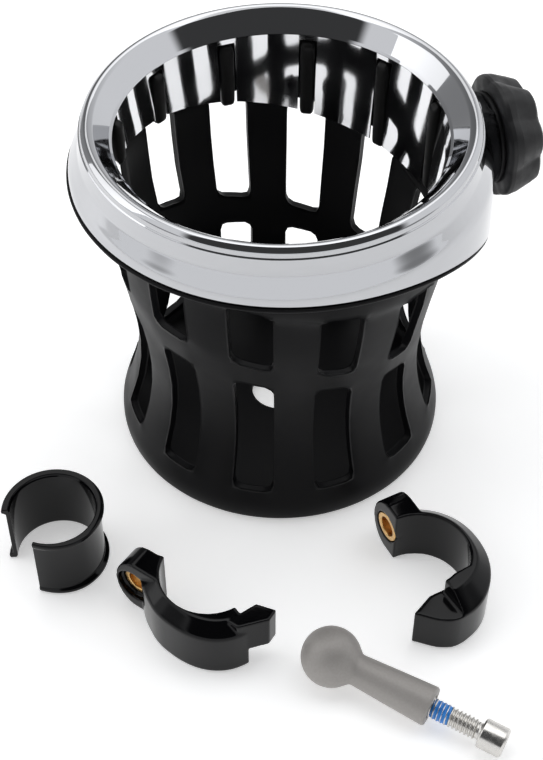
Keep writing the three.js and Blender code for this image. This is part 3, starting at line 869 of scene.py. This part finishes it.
def clamp_bolt():
    """A cap screw, row by row from its tip over the head's rim and down into the hexagon."""
    sides = 60
    root, crest = 2.2, 2.7
    rows = [[(x, y, 20.0) for x, y in circle(0.9, sides)]]
    rows += thread_grid(20.1, 41.6, root, crest, sides=sides)
    head = rounded([(2.4, 42.0, 0.1), (3.6, 42.2, 0.2), (3.95, 42.6, 0.25), (3.95, 48.3, 0.35),
                    (3.5, 48.8, 0.2), (3.0, 48.8, 0)], 4, False)
    for r, z in head:
        rows.append([(x, y, z) for x, y in circle(r, sides)])
    hexagon = [hex_point(2.36, j / sides) for j in range(sides)]
    rows.append([(x * 1.08, y * 1.08, 48.8) for x, y in hexagon])
    rows.append([(x, y, 48.55) for x, y in hexagon])
    rows.append([(x, y, 45.6) for x, y in hexagon])
    rows.append([(x * 0.3, y * 0.3, 45.0) for x, y in hexagon])
    points = [p for row in rows for p in row]
    faces = []
    for i in range(len(rows) - 1):
        for j in range(sides):
            k = (j + 1) % sides
            faces.append((i * sides + j, i * sides + k, (i + 1) * sides + k, (i + 1) * sides + j))
    faces.append(tuple(reversed(range(sides))))
    faces.append(tuple((len(rows) - 1) * sides + j for j in range(sides)))
    mesh_object("cap_screw", moved(points, stud_frame()), faces, "bolt", ["clamp_bolt"], LOOK["bolt"],
                42)


def hex_point(radius, turn):
    """A point on a hexagon's outline; radius reaches its corners."""
    a = 2 * math.pi * turn
    wedge = (a % (math.pi / 3)) - math.pi / 6
    r = radius * math.cos(math.pi / 6) / math.cos(wedge)
    return r * math.cos(a), r * math.sin(a)


def lock_patch():
    outer = thread_grid(28.9, 33.7, 2.44, 2.69, 0.12, 0.86, 64)
    inner = thread_grid(28.9, 33.7, 2.1, 2.5, 0.12, 0.86, 64)
    n = len(outer[0])
    points = [p for row in outer for p in row] + [p for row in inner for p in row]
    shift = len(outer) * n
    faces = []
    for i in range(len(outer) - 1):
        for j in range(n - 1):
            a, b = i * n + j, (i + 1) * n + j
            faces.append((a, a + 1, b + 1, b))
            faces.append((shift + a, shift + b, shift + b + 1, shift + a + 1))
        for j, flip in ((0, False), (n - 1, True)):
            a, b = i * n + j, (i + 1) * n + j
            quad = (a, b, shift + b, shift + a)
            faces.append(quad[::-1] if flip else quad)
    for i, flip in ((0, True), (len(outer) - 1, False)):
        for j in range(n - 1):
            a = i * n + j
            quad = (a, a + 1, shift + a + 1, shift + a)
            faces.append(quad[::-1] if flip else quad)
    mesh_object("lock_film", moved(points, stud_frame()), faces, "bolt_thread", ["lock_patch"],
                LOOK["patch"], 60)


def carried_over(node, material):
    """A CAD node that stays, with a softened edge and a finished surface."""
    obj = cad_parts[node]
    obj.data.materials.clear()
    obj.data.materials.append(material)
    soften_edges(obj, 0.2, 2, 40).harden_normals = True
    shade(obj, 35)


basket()
bezel()
liner()
fins()
hand_nut()
thrust_collar()
carried_over("ball_socket", LOOK["socket"])
carried_over("fin_carrier", LOOK["rubber"])
reducer_sleeve()
left_clamp()
right_clamp()
bush("bush_left_ring", "bush_left", "left_clamp", -BOLT_OFFSET, -8.3, -3.4, LEFT_CLAMP)
bush("bush_right_ring", "bush_right", "right_clamp", BOLT_OFFSET, -6.9, -0.2, RIGHT_CLAMP)
ball_stud()
clamp_bolt()
lock_patch()


# ---------------------------------------------------------------- stage, light and camera

def stage_floor():
    data = bpy.data.meshes.new("floor")
    reach = 3.0
    corners = [(-reach, -reach, 0), (reach, -reach, 0), (reach, reach, 0), (-reach, reach, 0)]
    data.from_pydata(corners, [], [(0, 1, 2, 3)])
    floor = bpy.data.objects.new("floor", data)
    bpy.context.scene.collection.objects.link(floor)
    look = Surface("pale_floor", (0.9, 0.9, 0.9), 0.6)
    look.vary_color(0.01, (0.89, 0.89, 0.89), (0.92, 0.92, 0.92))
    look.shader.inputs["Emission Color"].default_value = (1, 1, 1, 1)
    look.shader.inputs["Emission Strength"].default_value = 0.42
    data.materials.append(look.material)


def area_light(name, place, target, size, power, tall=None):
    data = bpy.data.lights.new(name, "AREA")
    data.shape = "RECTANGLE"
    data.size, data.size_y = size, tall or size
    data.energy = power
    lamp = bpy.data.objects.new(name, data)
    lamp.location = place
    lamp.rotation_euler = (Vector(target) - Vector(place)).to_track_quat("-Z", "Y").to_euler()
    bpy.context.scene.collection.objects.link(lamp)


def studio():
    """A pale room that is dark behind the camera, so the chrome has something to mirror."""
    world = bpy.data.worlds.new("studio")
    world.use_nodes = True
    nodes, links = world.node_tree.nodes, world.node_tree.links
    coords = nodes.new("ShaderNodeTexCoord")

    height = nodes.new("ShaderNodeSeparateXYZ")
    links.new(coords.outputs["Generated"], height.inputs["Vector"])

    def patch(direction, narrow, wide, inside, above=None):
        """Brightness that falls to its inside value within an angle of a direction, above a height."""
        dot = nodes.new("ShaderNodeVectorMath")
        dot.operation = "DOT_PRODUCT"
        dot.inputs[1].default_value = Vector(direction).normalized()
        links.new(coords.outputs["Generated"], dot.inputs[0])
        fade = nodes.new("ShaderNodeMapRange")
        fade.interpolation_type = "SMOOTHSTEP"
        fade.inputs["From Min"].default_value = math.cos(math.radians(wide))
        fade.inputs["From Max"].default_value = math.cos(math.radians(narrow))
        fade.inputs["To Min"].default_value = 1.0
        fade.inputs["To Max"].default_value = inside
        links.new(dot.outputs["Value"], fade.inputs["Value"])
        if above is None:
            return fade.outputs["Result"]
        clear = nodes.new("ShaderNodeMapRange")
        clear.inputs["From Min"].default_value = above - 0.04
        clear.inputs["From Max"].default_value = above + 0.04
        clear.inputs["To Min"].default_value = 1.0
        clear.inputs["To Max"].default_value = 0.0
        links.new(height.outputs["Z"], clear.inputs["Value"])
        lighter = nodes.new("ShaderNodeMath")
        lighter.operation = "MAXIMUM"
        links.new(fade.outputs["Result"], lighter.inputs[0])
        links.new(clear.outputs["Result"], lighter.inputs[1])
        return lighter.outputs["Value"]

    value = patch((0.12, -0.74, 0.66), 46, 52, 0.06, above=0.34)
    for other in (patch((-0.6, 0.7, 0.38), 5, 55, 0.3), patch((0, 0.85, 0.5), 5, 50, 0.55),
                  patch((-1, -0.5, 0.35), 8, 16, 0.35), patch((1, -0.35, 0.25), 10, 18, 0.3)):
        both = nodes.new("ShaderNodeMath")
        both.operation = "MULTIPLY"
        links.new(value, both.inputs[0])
        links.new(other, both.inputs[1])
        value = both.outputs["Value"]
    links.new(value, nodes["Background"].inputs["Strength"])
    nodes["Background"].inputs["Color"].default_value = (1.1, 1.11, 1.13, 1)
    bpy.context.scene.world = world
    area_light("overhead", (0.0, 0.45, 1.1), (0, -0.03, 0.05), 1.2, 5.0)
    area_light("left_box", (-0.95, 0.2, 0.6), (0, -0.03, 0.05), 0.6, 2.0, 0.8)


def camera():
    elevation = math.radians(47.0)
    distance, drop, shift = 472.5, 5.42, -2.49
    forward = Vector((0, math.cos(elevation), -math.sin(elevation)))
    upward = Vector((0, math.sin(elevation), math.cos(elevation)))
    data = bpy.data.cameras.new("camera")
    data.sensor_fit = "AUTO"
    data.sensor_width = 36.0
    data.lens = 73.75
    eye = bpy.data.objects.new("camera", data)
    eye.location = (Vector((shift, 0, 0)) + upward * drop - forward * distance) * MM
    eye.rotation_euler = (math.pi / 2 - elevation, 0, 0)
    bpy.context.scene.collection.objects.link(eye)
    bpy.context.scene.camera = eye


stage_floor()
studio()
camera()
bpy.context.scene.view_settings.view_transform = "Standard"
